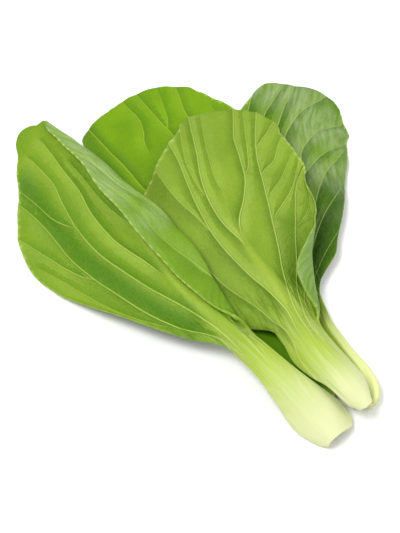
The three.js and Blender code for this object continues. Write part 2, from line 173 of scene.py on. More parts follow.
FRONT_LEFT = {
    "name": "leaf_front_left",
    "outer_colours": [(116, 147, 26), (68, 112, 0), (170, 194, 84)],
    "inner_colours": [(108, 144, 26), (74, 112, 6), (140, 172, 66)],
    "inner_stalk": [(140, 166, 46), (205, 212, 150)],
    "inner_sheen": 0.42,
    "shine_from": 122,
    "white_to": 48,
    "stalk_rounds": 400,
    "shade_side": 1,
    "valleys": [(0.95, 6, [(-26, 186), (-27.5, 160), (-26, 136), (-20.5, 113), (-14.5, 94), (-9, 76)])],
    "outer_face_up": True,
    "wave_phase": 0.4,
    "spine": [
        (-1.3, -96, 6.3), (-3.7, -83, 9.7), (-5.4, -69, 12.3), (-7.4, -51, 14), (-10.2, -33, 15),
        (-14.2, -4, 17), (-13.2, 38, 18), (-13.3, 77, 19), (-16.6, 107, 17),
    ],
    "roll": [(0, -30), (40, -22), (90, -6), (130, -2), (205, 0)],
    "stalk_edge": 2.1,
    "core": [(0, 5.5), (14, 7), (40, 6), (62, 4.8), (78, 3.4), (100, 2.4), (140, 1.5), (205, 0.9)],
    "rib": [
        (0, 3), (14, 7.6), (40, 5), (56, 4.4), (70, 4.9), (84, 3.8), (105, 2.8), (150, 1.8),
        (205, 0.8),
    ],
    "blade_from": 64,
    "cut": 1,
    "veins": [
        (1.0, [(-1, 96), (-3, 104), (-5, 112), (-8, 121), (-10.5, 131), (-11, 147), (-9.1, 160),
            (-8.6, 175), (-6.9, 187)]),
        (1.0, [(-1.5, 62), (-3, 76), (-6, 89), (-11, 102), (-15, 114), (-18.7, 128), (-20, 146),
            (-18.3, 161), (-16, 172), (-15.5, 184)]),
        (0.75, [(-20, 146), (-24.5, 154.5), (-27, 162.5), (-28.3, 175)]),
        (1.0, [(-3.7, 62), (-7.1, 70), (-12, 78), (-18, 93), (-23, 108), (-27, 120), (-30.8, 138),
            (-31.5, 155), (-33, 170)]),
        (0.75, [(-26.6, 119), (-30.8, 125), (-34.8, 134), (-38.4, 144.4), (-41.5, 153)]),
        (0.6, [(-12, 78), (-19, 88), (-27, 101), (-35, 118), (-41, 134)]),
        (0.6, [(-0.5, 130), (-2.5, 140), (-4, 152), (-4, 168)]),
        (0.8, [(1, 98), (4, 108), (8, 121), (10.5, 134), (11, 152), (9, 172)]),
        (0.8, [(2, 76), (6, 90), (12, 106), (17.5, 122), (21, 140), (20, 160)]),
        (0.8, [(4, 64), (10, 78), (18, 94), (25, 112), (28, 134)]),
        (0.6, [(6, 60), (14, 70), (23, 84), (30, 104)]),
    ],
    "left": {
        "cut": 0.4,
        "crown": 4.4,
        "ribs": [67, 82, 98, 115, 134, 154],
        "reach": [
            (0, 4.4), (3, 8.8), (8, 11.5), (15, 11.5), (28, 7.8), (46, 5), (57, 4.9), (74, 13.4),
            (94, 24.8), (112, 36.6), (128, 45), (144, 48.4), (159, 45.8), (170, 40.8), (177, 37.4),
            (186, 29.6), (194, 23), (200, 16.5),
        ],
        "climb": [
            (0, 0), (54, 0), (67, 34), (80, 60), (96, 70), (115, 64), (135, 51), (155, 34), (175, 16),
            (205, -5),
        ],
        "arch": [(0, -45), (14, -48), (40, -42), (62, -32), (80, -10), (205, -4)],
        "tilt": [(0, -2), (60, -2), (80, -9), (140, -12), (205, -9)],
        "bends": [
            [0, 1, [(0, -20), (50, -18), (60, 0), (205, 0)]],
            [0.2, 0.3, [(0, 0), (62, 0), (75, -25), (110, -25), (150, -16), (205, -8)]],
            [0.6, 0.3, [(0, 0), (62, 0), (75, 24), (110, 26), (150, 20), (205, 10)]],
        ],
    },
    "right": {
        "cut": -0.4,
        "crown": 0,
        "ribs": [62, 75, 90, 106, 124, 144],
        "reach": [
            (0, 12), (3, 15.8), (9, 16.6), (15, 15.4), (22, 13.4), (30, 11.4), (45, 9), (56, 8),
            (66, 10.4), (76, 15.2), (86, 19.8), (95, 24.2), (104, 27.4), (114, 31.4), (127, 33.8),
            (140, 34.8), (152, 34.2), (164, 28.4), (175, 23), (187, 17), (194, 8.8),
        ],
        "climb": [
            (0, 0), (54, 0), (63, 16), (76, 40), (90, 52), (108, 54), (128, 48), (150, 36), (175, 16),
            (205, -11),
        ],
        "arch": [(0, -45), (14, -48), (40, -42), (62, -32), (80, -6), (205, 0)],
        "tilt": [(0, -2), (50, -2), (70, 4), (205, 5)],
        "bends": [
            [0, 1, [(0, -20), (50, -18), (60, 0), (205, 0)]],
            [0.3, 0.21, [(0, 0), (54, 0), (62, 150), (75, 172), (165, 170), (205, 168)]],
        ],
    },
}

FRONT_MIDDLE = {
    "name": "leaf_front_middle",
    "outer_colours": [(126, 154, 40), (70, 104, 0), (174, 198, 96)],
    "inner_colours": [(108, 142, 50), (84, 122, 34), (136, 170, 72)],
    "inner_stalk": [(130, 158, 40), (195, 206, 130)],
    "inner_sheen": 0.25,
    "shine_from": 0,
    "white_to": 30,
    "stalk_rounds": 60,
    "shade_side": -1,
    "valleys": [
        (0.5, 5, [(-33, 135), (-29, 118), (-24, 98), (-20.5, 84), (-17, 68)]),
        (0.5, 6, [(23, 90), (17, 75), (9, 64)]),
    ],
    "outer_face_up": True,
    "wave_phase": 2.1,
    "spine": [
        (16.6, -91, 11.8), (15.8, -81, 14.2), (15.7, -64, 14.4), (16.4, -49, 16), (19, -31, 17),
        (21, -2, 19), (28.6, 22, 20), (41, 44, 20), (56.4, 65, 18),
    ],
    "roll": [(0, -6), (20, -2), (50, 2), (90, 0), (165, -2)],
    "stalk_edge": 2.1,
    "core": [(0, 5.5), (12, 6.5), (35, 5.5), (48, 4.4), (62, 3.2), (85, 2.2), (120, 1.4), (165, 0.9)],
    "rib": [(0, 2.4), (5, 5), (12, 6.4), (35, 7), (50, 6.4), (66, 4.8), (85, 3.2), (120, 2), (165, 0.8)],
    "blade_from": 50,
    "cut": -2.4,
    "veins": [
        (1.0, [(0.5, 86), (1.2, 95), (3.5, 102), (7.9, 111), (10.6, 123), (9.2, 137.4), (7.3, 147.3),
            (6.8, 159)]),
        (1.0, [(-0.3, 80), (-1, 89.6), (-5, 102), (-7.6, 114), (-9.1, 128), (-9.9, 140), (-12.9, 156)]),
        (1.0, [(-2, 50), (-3.8, 62), (-6.2, 73), (-7.9, 83), (-10.8, 97), (-12.8, 110), (-15.4, 124),
            (-18.6, 137.5), (-22.2, 146)]),
        (0.8, [(-6, 42), (-9.5, 50), (-13.5, 63), (-17.8, 76), (-20, 86), (-23.5, 96), (-27, 107)]),
        (0.6, [(-10.8, 97), (-14.5, 106), (-20.5, 116), (-26, 127)]),
        (0.5, [(-7.6, 114), (-11, 122), (-14.4, 133), (-16.4, 146)]),
        (1.0, [(0.5, 46), (2, 56), (6.4, 67), (12.6, 80), (16, 93.5), (17.7, 106), (18.2, 120),
            (17.2, 135), (17, 148), (17.2, 160)]),
        (0.75, [(16, 93), (19.5, 98), (24.3, 103.5), (29, 110), (32.3, 117), (34.8, 127)]),
        (0.6, [(18, 108), (21, 112), (25.9, 118.6), (30.1, 129)]),
        (0.7, [(18, 122), (20, 127), (24.7, 133), (27.4, 143)]),
        (0.7, [(17.2, 138), (19, 145), (22.3, 152), (24.4, 158)]),
        (0.9, [(2.5, 42), (7.3, 57), (16.5, 70), (24.1, 84), (29, 100), (32.4, 113), (36.8, 123)]),
        (0.6, [(24.1, 84), (30, 90), (35.5, 98), (38.8, 108)]),
        (0.7, [(3.5, 40), (8, 52), (15, 61), (24, 69), (32, 78)]),
        (0.5, [(0.8, 113), (-2.4, 124), (-4.6, 138), (-6.8, 152)]),
        (0.6, [(10.6, 123), (13, 131), (13, 145), (12, 157)]),
    ],
    "left": {
        "cut": 0.2,
        "crown": 0,
        "ribs": [52, 64, 78, 93, 110, 128],
        "reach": [
            (0, 3.8), (3, 5.6), (9, 6.3), (15, 7.1), (22, 9.8), (32, 12), (40, 11), (45, 11), (48, 13),
            (51, 17), (56, 22), (64, 26), (76, 30), (90, 34), (104, 36), (120, 37), (134, 30),
            (140, 28.2), (147, 22.9), (153, 18.1),
        ],
        "climb": [
            (0, 0), (40, 0), (52, 30), (64, 50), (78, 56), (93, 51), (110, 39), (128, 23), (145, 8),
            (165, -11),
        ],
        "arch": [(0, -44), (36, -40), (52, -30), (70, -8), (165, -4)],
        "tilt": [(0, -2), (47, -2), (55, -7), (66, -7), (82, 0), (165, -2)],
        "bends": [
            [0, 1, [(0, -34), (16, -30), (26, -14), (36, -12), (46, 0), (165, 0)]],
            [0.35, 0.2, [(0, 0), (42, -20), (48, -24), (54, 0), (165, 0)]],
            [0.58, 0.2, [
                (0, 0), (42, 0), (50, -12), (60, -12), (80, -18), (105, -16), (125, -10), (165, 0),
            ]],
        ],
    },
    "right": {
        "cut": 0.4,
        "crown": 1.5,
        "ribs": [48, 59, 71, 85, 101, 119],
        "reach": [
            (0, 4), (2, 7), (5, 9.4), (9, 10.8), (14, 11.4), (22, 11.8), (36, 10.2), (41, 10.4),
            (46, 15), (51, 19), (58, 22), (66, 26), (72, 30), (86, 37), (100, 41), (118, 39.5),
            (130, 37.7), (139, 34.4), (147, 31.3), (153, 28.3),
        ],
        "climb": [
            (0, 0), (38, 0), (48, 22), (60, 44), (74, 54), (90, 51), (108, 40), (127, 24), (145, 8),
            (165, -11),
        ],
        "arch": [(0, -44), (36, -40), (52, -30), (70, -8), (165, -4)],
        "tilt": [(0, -2), (50, -2), (70, 0), (165, -2)],
        "bends": [
            [0, 1, [(0, -14), (36, -12), (46, 0), (165, 0)]],
            [0.44, 0.28, [
                (0, 0), (38, 0), (41, 110), (44, 160), (46, 150), (49, 70), (53, 0), (165, 0),
            ]],
            [0.8, 0.2, [
                (0, 0), (44, 0), (48, 40), (52, 60), (58, 110), (66, 80), (76, 30), (88, 0), (165, 0),
            ]],
        ],
    },
}

BACK_LEFT = {
    "name": "leaf_back_left",
    "outer_colours": [(122, 153, 32), (78, 122, 4), (166, 192, 72)],
    "inner_colours": [(110, 150, 0), (64, 106, 0), (152, 184, 44)],
    # The inner stalk colours are darkened as painted shade of the gap between and under the front stalks.
    "inner_stalk": [(76, 120, 6), (112, 152, 30)],
    "inner_sheen": 0.0,
    "shine_from": 0,
    "white_to": 40,
    "stalk_rounds": 60,
    "shade_side": 1,
    "valleys": [(0.7, 5, [(-17, 188), (-18, 162), (-19, 142), (-18, 128)])],
    "outer_face_up": False,
    "wave_phase": 3.3,
    "spine": [
        (7, -82, 2.5), (7, -62, 2.5), (7, -46, 3.2), (10, -15, 5.5), (14, 16, 7.5),
        (18, 64, 8.5), (19, 82, 8), (22, 104, 6.5),
    ],
    "roll": [(0, 0), (186, 0)],
    "stalk_edge": 2.1,
    "core": [(0, 5), (12, 5.6), (35, 5), (60, 4.2), (80, 2.8), (110, 1.8), (150, 1.2), (186, 0.9)],
    "rib": [(0, 4), (12, 6.4), (35, 6), (60, 5.2), (75, 4.2), (100, 3), (150, 2), (186, 0.8)],
    "blade_from": 62,
    "cut": 2,
    "veins": [
        (1.0, [(-1, 96), (-4, 110), (-8, 122), (-10.9, 135.5), (-11.7, 146.4), (-12.7, 159),
            (-13.9, 168.5), (-15.2, 179)]),
        (0.8, [(-1.5, 78), (-6, 94), (-12, 108), (-18, 122), (-22, 138), (-24, 154), (-25, 168)]),
        (0.8, [(-3, 66), (-10, 80), (-18, 96), (-26, 114), (-30, 134)]),
        (0.8, [(0.3, 148), (2.5, 158), (5.1, 163.5), (7.4, 173), (6, 184)]),
        (0.9, [(1, 104), (5, 118), (10, 132), (14.5, 144), (16, 154), (15.3, 167), (14, 181)]),
        (0.7, [(15.6, 158), (19, 166), (21, 175)]),
        (0.9, [(1.5, 84), (8, 102), (16, 122), (23, 140), (27.4, 156), (28.4, 167), (30.4, 177)]),
        (0.8, [(3, 70), (12, 86), (23, 106), (33, 128), (38, 148)]),
        (0.6, [(6, 62), (16, 74), (30, 96), (41, 122)]),
    ],
    "left": {
        "cut": 2,
        "crown": -1.5,
        "ribs": [68, 82, 97, 113, 130, 149],
        "reach": [
            (0, 5), (6, 6), (12, 7), (22, 7.6), (40, 7.4), (56, 7), (68, 11), (80, 20), (95, 28),
            (110, 33), (130, 34), (150, 30.5), (163, 27), (170, 24.5), (176, 21.5),
        ],
        "climb": [
            (0, 0), (55, 0), (68, 30), (82, 52), (97, 56), (113, 49), (130, 38), (149, 23), (165, 9),
            (187, -11),
        ],
        "arch": [(0, 34), (40, 32), (60, 20), (80, 1), (186, 0)],
        "tilt": [(0, 2), (60, 2), (80, 0), (120, -3), (186, -8)],
        "bends": [
            [0, 1, [(0, 10), (48, 8), (58, 0), (186, 0)]],
            [0.5, 0.25, [(0, 0), (80, 0), (100, -16), (186, -24)]],
        ],
    },
    "right": {
        "cut": 4,
        "crown": 3,
        "ribs": [63, 75, 89, 105, 121, 139],
        "reach": [
            (0, 6), (6, 7.4), (12, 8), (22, 8), (40, 7.4), (56, 7), (68, 11), (80, 20), (95, 31),
            (110, 40), (130, 46), (150, 48.1), (162, 43.9), (171, 41.1), (176, 38.5),
        ],
        "climb": [
            (0, 0), (53, 0), (64, 24), (77, 48), (92, 56), (109, 52), (127, 41), (147, 26), (165, 10),
            (187, -11),
        ],
        "arch": [(0, 34), (40, 32), (60, 22), (80, 6), (186, 2)],
        "tilt": [(0, 2), (55, 2), (75, 5), (140, 4), (187, 5)],
        "bends": [[0, 1, [(0, 10), (48, 8), (58, 0), (186, 0)]]],
    },
}

BACK_RIGHT = {
    "name": "leaf_back_right",
    "outer_colours": [(122, 153, 32), (78, 122, 4), (166, 192, 72)],
    "inner_colours": [(90, 128, 6), (40, 78, 0), (162, 188, 92)],
    # The inner stalk colour is a dark olive, as painted shade of the stalk's hollow channel.
    "inner_stalk": [(118, 142, 10), (212, 218, 150)],
    "inner_sheen": 0.42,
    "shine_from": 100,
    "white_to": 75,
    "stalk_rounds": 60,
    "shade_side": 1,
    "valleys": [(0.9, 9, [(29, 112), (22, 96), (13, 81), (7, 73)])],
    "outer_face_up": False,
    "wave_phase": 4.6,
    "spine": [
        (18.8, -89.6, 2.6), (22.2, -83.4, 2.5), (24.5, -74, 2.5), (25.5, -62, 3), (28, -46, 3.8),
        (36, -24, 5), (50, 6, 6), (63, 33, 6), (76, 54, 6), (97, 73, 5),
    ],
    "roll": [(0, 2), (67, 4), (187, 2)],
    "stalk_edge": 3.6,
    "core": [(0, 5), (19, 5.6), (42, 5), (57, 4), (77, 2.6), (110, 1.7), (150, 1.2), (187, 0.9)],
    "rib": [(0, 4), (19, 6.4), (42, 5.6), (57, 5), (72, 4), (97, 3), (147, 1.8), (187, 0.8)],
    "blade_from": 60,
    "cut": 1,
    "veins": [
        (0.8, [(-0.3, 146), (-1.5, 162), (0, 169), (1.7, 178)]),
        (0.9, [(1, 132), (3.6, 145), (5.9, 159), (6.8, 172), (8.3, 183)]),
        (1.0, [(1, 110), (3.4, 124), (6.4, 137), (9, 149), (11.9, 160), (15.7, 172), (23, 182)]),
        (1.0, [(1.3, 94), (4.5, 106), (9, 120), (14.4, 133), (15.9, 139), (20, 147), (25.7, 157),
            (35, 169)]),
        (0.8, [(9, 120), (16, 126.5), (22.7, 134), (31, 140)]),
        (0.9, [(2, 78), (6, 88), (12, 97), (17.4, 110), (24.5, 124), (31, 132)]),
        (0.8, [(3, 68), (8, 80), (13.8, 92), (19, 100.6), (25, 108)]),
        (0.6, [(5, 62), (10, 72), (17, 82), (25, 92)]),
        (0.9, [(-1, 112), (-5, 126), (-8, 140), (-9.5, 156), (-10, 170)]),
        (0.8, [(-1.5, 90), (-7, 104), (-12, 120), (-15, 136), (-16, 152)]),
        (0.8, [(-3, 70), (-9, 84), (-15, 100), (-19, 118)]),
    ],
    "left": {
        "cut": 0,
        "crown": 0,
        "ribs": [65, 78, 93, 109, 126, 144],
        "reach": [
            (0, 6), (7, 7), (13, 8), (19, 8.4), (29, 8), (45, 7), (55, 7), (65, 10), (77, 15),
            (92, 20), (107, 22), (122, 22.5), (147, 18.5), (161, 14.5), (174, 10),
        ],
        "climb": [
            (0, 0), (52, 0), (65, 30), (78, 50), (93, 55), (109, 48), (126, 36), (144, 22), (162, 8),
            (187, -12),
        ],
        "arch": [(0, 38), (42, 34), (57, 22), (77, 0), (187, -2)],
        "tilt": [(0, 2), (51, 2), (63, -7), (187, -8)],
        "bends": [[0, 1, [(0, 14), (47, 10), (57, 0), (187, 0)]]],
    },
    "right": {
        "cut": 0,
        "crown": 2,
        "ribs": [60, 72, 86, 101, 118, 136],
        "reach": [
            (0, 5), (3, 7.4), (8, 8.8), (14, 8.4), (22, 7.4), (34, 6.8), (45, 6.4), (57, 6.4), (66, 9.6),
            (72, 14), (77, 18.8), (86, 21.8), (96, 26), (107, 30), (118, 33.4), (132, 36.9), (147, 40.3),
            (160, 40.6), (168, 39), (174, 36.7), (179, 33.2),
        ],
        "climb": [
            (0, 0), (51, 0), (61, 24), (74, 46), (89, 56), (105, 53), (123, 41), (143, 26), (162, 11),
            (187, -8),
        ],
        "arch": [(0, 38), (42, 34), (57, 22), (77, 2), (187, -2)],
        "tilt": [(0, 2), (57, 2), (77, 0), (187, -2)],
        "bends": [
            [0, 1, [(0, 14), (47, 10), (57, 0), (187, 0)]],
            [0.6, 0.4, [(0, 0), (62, 0), (77, -20), (107, -36), (157, -34), (187, -20)]],
        ],
    },
}


def along(table, station):
    """Value of a smooth curve through a table, without overshoot and flat beyond its ends."""
    places = np.array([place for place, _ in table], float)
    values = np.array([value for _, value in table], float)
    at = np.clip(station, places[0], places[-1])
    slope = np.diff(values) / np.diff(places)
    product = slope[:-1] * slope[1:]
    total = np.where(product > 0, slope[:-1] + slope[1:], 1)
    inner = np.where(product > 0, 2 * product / total, 0)
    tangent = np.concatenate([slope[:1], inner, slope[-1:]])
    i = np.clip(np.searchsorted(places, at, side="right") - 1, 0, len(places) - 2)
    gap = places[i + 1] - places[i]
    u = (at - places[i]) / gap
    start = (2 * u**3 - 3 * u**2 + 1) * values[i] + (u**3 - 2 * u**2 + u) * gap * tangent[i]
    end = (3 * u**2 - 2 * u**3) * values[i + 1] + (u**3 - u**2) * gap * tangent[i + 1]
    return start + end


def smoothstep(value, low, high):
    share = np.clip((value - low) / (high - low), 0, 1)
    return share * share * (3 - 2 * share)


def lerp(first, second, share):
    return first + (second - first) * share


def spine_points(spine, t):
    """Points on the smooth curve through the spine's points, with t from 0 to 1."""
    points = np.array(spine, float)
    points = np.vstack([2 * points[0] - points[1], points, 2 * points[-1] - points[-2]])
    place = np.clip(t, 0, 1) * (len(spine) - 1)
    i = np.minimum(place.astype(int), len(spine) - 2)
    u = (place - i)[..., None]
    before, first, second, after = points[i], points[i + 1], points[i + 2], points[i + 3]
    bend = 2 * before - 5 * first + 4 * second - after
    twist = 3 * first - before - 3 * second + after
    return 0.5 * (2 * first + (second - before) * u + bend * u**2 + twist * u**3)


def midrib_length(leaf):
    samples = spine_points(leaf["spine"], np.linspace(0, 1, SPINE_STEPS + 1))
    return np.linalg.norm(np.diff(samples, axis=0), axis=1).sum()


def frame_at(leaf, station):
    """Points on the midrib, and the directions out to the right and up from the leaf there."""
    t = np.linspace(0, 1, SPINE_STEPS + 1)
    steps = np.linalg.norm(np.diff(spine_points(leaf["spine"], t), axis=0), axis=1)
    lengths = np.concatenate([[0], np.cumsum(steps)])
    on_curve = np.clip(station, 0, lengths[-1])
    place = np.interp(on_curve, lengths, t)
    ahead = spine_points(leaf["spine"], np.clip(place + TANGENT_STEP, 0, 1))
    behind = spine_points(leaf["spine"], np.clip(place - TANGENT_STEP, 0, 1))
    tangent = unit(ahead - behind)
    origin = spine_points(leaf["spine"], place) + tangent * (station - on_curve)[..., None]
    up = unit(np.array([0, 0, 1.0]) - tangent * tangent[..., 2:3])
    across = np.cross(tangent, up)
    roll = np.radians(along(leaf["roll"], station))[..., None]
    rolled_across = across * np.cos(roll) - up * np.sin(roll)
    rolled_up = up * np.cos(roll) + across * np.sin(roll)
    return origin, rolled_across, rolled_up


def unit(vectors):
    return vectors / np.linalg.norm(vectors, axis=-1, keepdims=True)


def slope_at(leaf, side, station, share):
    """Slope in radians of the leaf's cross section at a share of its half width."""
    bladeness = smoothstep(station, leaf["blade_from"] - FLARE_LENGTH, leaf["blade_from"])
    flare = bladeness * smoothstep(share - 1, 0, FLARE_SHARE)
    arch = along(side["arch"], station) * np.minimum(share, 1) * (1 - flare)
    degrees = along(side["tilt"], station) + arch
    for first, width, turn in side["bends"]:
        degrees = degrees + along(turn, station) * smoothstep(share - 1, first, first + width)
    return np.radians(degrees)


def section_at(leaf, side, station, share, rib, blade):
    """How far out and how far up the cross section gets at a share of its half width."""
    out = np.zeros_like(station)
    rise = np.zeros_like(station)
    stretches = (
        (0, np.minimum(share, 1), rib, RIB_STEPS),
        (1, np.maximum(share - 1, 0), blade, BLADE_STEPS),
    )
    for start, reach, width, steps in stretches:
        for k in range(steps):
            slope = slope_at(leaf, side, station, start + reach * (k + 0.5) / steps)
            out += np.cos(slope) * width * reach / steps
            rise += np.sin(slope) * width * reach / steps
    return out, rise


def thickness_at(leaf, station, share):
    """Thickness, swelling from the blade to the stalk's or midrib's core."""
    before, after = EDGE_THINS
    thinned = smoothstep(station, leaf["blade_from"] - before, leaf["blade_from"] + after)
    edge = lerp(leaf["stalk_edge"], BLADE, thinned)
    ahead, beyond = RIDGE_NARROWS
    narrowed = smoothstep(station, leaf["blade_from"] - ahead, leaf["blade_from"] + beyond)
    swell = np.clip(1 - (share / lerp(1, RIDGE_SHARE, narrowed)) ** 2, 0, 1) ** SWELL_POWER
    return edge + (along(leaf["core"], station) - edge) * swell


def half_leaf(leaf, sign, left_line, right_line, share):
    """Middle surface of one half: points, normals, thickness and the place on the flat leaf."""
    side = leaf["left"] if sign < 0 else leaf["right"]
    blade_share = np.clip(share - 1, 0, 1)
    middle = (left_line + right_line) / 2
    own = left_line if sign < 0 else right_line
    station = middle + (own - middle) * np.minimum(share, 1)
    length = midrib_length(leaf)
    tipness = smoothstep(station, length - TIP_REACH, length)
    round_tip = 1 - np.sqrt(1 - blade_share**2)
    climb = along(side["climb"], station)
    climbed = climb * lerp(blade_share**RIB_CURVE, round_tip, tipness)
    crowned = side["crown"] * tipness * 4 * blade_share * (1 - blade_share)
    at_cut = np.clip(1 - station / CUT_REACH, 0, 1) ** 2
    hollow = lerp(leaf["cut"], side["cut"], (share / 2) ** 2) * at_cut
    place = station + climbed + crowned + hollow
    origin, across, up = frame_at(leaf, place)
    rib = along(leaf["rib"], station)
    blade = along(side["reach"], station + climb) - rib
    out, rise = section_at(leaf, side, station, share, rib, blade)
    slope = slope_at(leaf, side, station, share)[..., None]
    normal = up * np.cos(slope) - across * sign * np.sin(slope)
    bladeness = smoothstep(station, leaf["blade_from"], leaf["blade_from"] + WAVE_START)
    phase = leaf["wave_phase"] + (RIGHT_WAVE_LAG if sign > 0 else 0)
    swing = np.sin(2 * math.pi * (station + climbed) / WAVE_LENGTH + phase)
    wave = MARGIN_WAVE * bladeness * blade_share**3 * swing
    point = origin + across * (sign * out)[..., None] + up * rise[..., None] + normal * wave[..., None]
    width = np.where(share < 1, share * rib, rib + blade_share * blade)
    return {
        "point": point,
        "normal": normal,
        "thickness": thickness_at(leaf, station, share),
        "flat": np.stack([sign * width, place], -1),
        "station": station,
        "share": share * np.ones_like(station),
        "edge_gap": (1 - blade_share) * blade + np.clip(1 - share, 0, 1) * rib,
    }


def leaf_sheet(leaf, rows, columns):
    """The two halves of a leaf's middle surface, joined into one grid of rows by columns."""
    length = midrib_length(leaf)
    stalk_end = leaf["right"]["ribs"][0] - FAN_LENGTH
    left_marks = [0, stalk_end, *leaf["left"]["ribs"], length]
    right_marks = [0, stalk_end, *leaf["right"]["ribs"], length]
    marks = (np.array(left_marks) + np.array(right_marks)) / 2
    line = np.linspace(0, length, rows)[:, None]
    left_line = np.interp(line, marks, left_marks)
    right_line = np.interp(line, marks, right_marks)
    shares = half_columns(columns)
    halves = []
    for sign in (-1, 1):
        across = np.broadcast_to(shares[None, :], (rows, columns)).astype(float)
        left = np.broadcast_to(left_line, (rows, columns))
        right = np.broadcast_to(right_line, (rows, columns))
        halves.append(half_leaf(leaf, sign, left, right, across))
    left_half, right_half = halves
    return {key: np.concatenate([left_half[key][:, :0:-1], right_half[key]], 1) for key in left_half}


def half_columns(columns):
    """Shares from the midrib to the margin, with about one column in six on the stalk and midrib."""
    on_rib = columns // 6
    rib_shares = np.linspace(0, 1, on_rib, endpoint=False)
    return np.concatenate([rib_shares, np.linspace(1, 2, columns - on_rib)])


def vein_curves(leaf):
    """Smooth main veins of a leaf, each with its strength, as points on the flat leaf."""
    curves = []
    for strength, points in leaf["veins"]:
        out, start = points[0]
        if start < leaf["blade_from"] + ROOTED_BELOW:
            points = [*((wider * out, start - down) for wider, down in VEIN_ROOTS), *points]
        step = np.array(points[-1]) - np.array(points[-2])
        points = [*points, tuple(np.array(points[-1]) + step * VEIN_RUNS_ON / np.linalg.norm(step))]
        curves.append((strength, spine_points(points, np.linspace(0, 1, 5 * len(points)))))
    return curves


def twig_curves(leaf, veins):
    """Short side veins that leave the main veins on alternate sides and bend towards the margin."""
    chance = random.Random(leaf["name"])
    twigs = []
    for strength, points in veins:
        lengths = np.concatenate([[0], np.cumsum(np.linalg.norm(np.diff(points, axis=0), axis=1))])
        place = chance.uniform(*TWIG_FIRST)
        sign = 1
        while place < lengths[-1] - TWIG_STOPS:
            start = np.array([np.interp(place, lengths, points[:, k]) for k in (0, 1)])
            ahead = np.array([np.interp(place + 2, lengths, points[:, k]) for k in (0, 1)])
            heading = math.atan2(*(ahead - start)[::-1]) + sign * math.radians(chance.uniform(*TWIG_ANGLE))
            reach = chance.uniform(*TWIG_LENGTH) * (0.6 + 0.4 * strength)
            middle = start + reach / 2 * np.array([math.cos(heading), math.sin(heading)])
            heading -= sign * math.radians(chance.uniform(*TWIG_BEND))
            end = middle + reach / 2 * np.array([math.cos(heading), math.sin(heading)])
            if start[1] > leaf["blade_from"]:
                twigs.append((strength, spine_points([start, middle, end], np.linspace(0, 1, 6))))
            place += chance.uniform(*TWIG_SPACING)
            sign = -sign
    return twigs


def vein_field(flat, curves):
    """For every point, what the nearest curve is like and how high the curves' ridges stand there.

    The nearest curve is given by its signed and its plain distance and its strength. The plain
    distance to any curve and the height of the ridges are given too, because they have no steps.
    """
    closest = np.full(flat.shape[:2], FAR)
    ridge = np.zeros(flat.shape[:2])
    nearest = np.full(flat.shape[:2], FAR)
    signed = np.full(flat.shape[:2], FAR)
    strong = np.zeros(flat.shape[:2])
    for strength, points in curves:
        low = points.min(0) - VEIN_FIELD_REACH
        high = points.max(0) + VEIN_FIELD_REACH
        close = np.all((flat > low) & (flat < high), axis=-1)
        here = flat[close]
        gap = np.full(len(here), FAR)
        place = np.zeros(len(here))
        side = np.ones(len(here))
        for k in range(len(points) - 1):
            step = points[k + 1] - points[k]
            away = here - points[k]
            share = np.clip((away @ step) / (step @ step), 0, 1)
            distance = np.linalg.norm(away - share[:, None] * step, axis=1)
            nearer = distance < gap
            gap = np.where(nearer, distance, gap)
            place = np.where(nearer, (k + share) / (len(points) - 1), place)
            side = np.where(nearer, np.sign(away[:, 0] * step[1] - away[:, 1] * step[0]), side)
        reached = strength * (1 - VEIN_FADES * place) * smoothstep(place, 0, VEIN_STARTS_IN)
        better = gap - reached < nearest[close] - strong[close]
        nearest[close] = np.where(better, gap, nearest[close])
        signed[close] = np.where(better, gap * side, signed[close])
        strong[close] = np.where(better, reached, strong[close])
        closest[close] = np.minimum(gap, closest[close])
        ridge[close] = np.maximum(reached * np.exp(-((gap / VEIN_WIDTH) ** 2)), ridge[close])
    return (signed, nearest, strong), closest, ridge


def valley_shade(leaf, flat):
    """Where shade is painted in the blade's valleys, from 0 to 1."""
    shade = np.zeros(flat.shape[:2])
    for strength, width, points in leaf["valleys"]:
        line = spine_points(points, np.linspace(0, 1, 5 * len(points)))
        _, gap, _ = vein_field(flat, [(1, line)])
        shade = np.maximum(shade, strength * np.exp(-((gap / width) ** 2)))
    return shade


def undulation(flat, seed):
    """Soft uneven swells of the blade, from -1 to 1."""
    chance = random.Random(seed)
    total = np.zeros(flat.shape[:2])
    for _ in range(SWELL_WAVES):
        angle = chance.uniform(0, math.pi)
        wave = 2 * math.pi / chance.uniform(*SWELL_LENGTHS)
        along_wave = flat[..., 0] * math.cos(angle) + flat[..., 1] * math.sin(angle)
        total += np.sin(along_wave * wave + chance.uniform(0, 2 * math.pi))
    return total / SWELL_SHARE


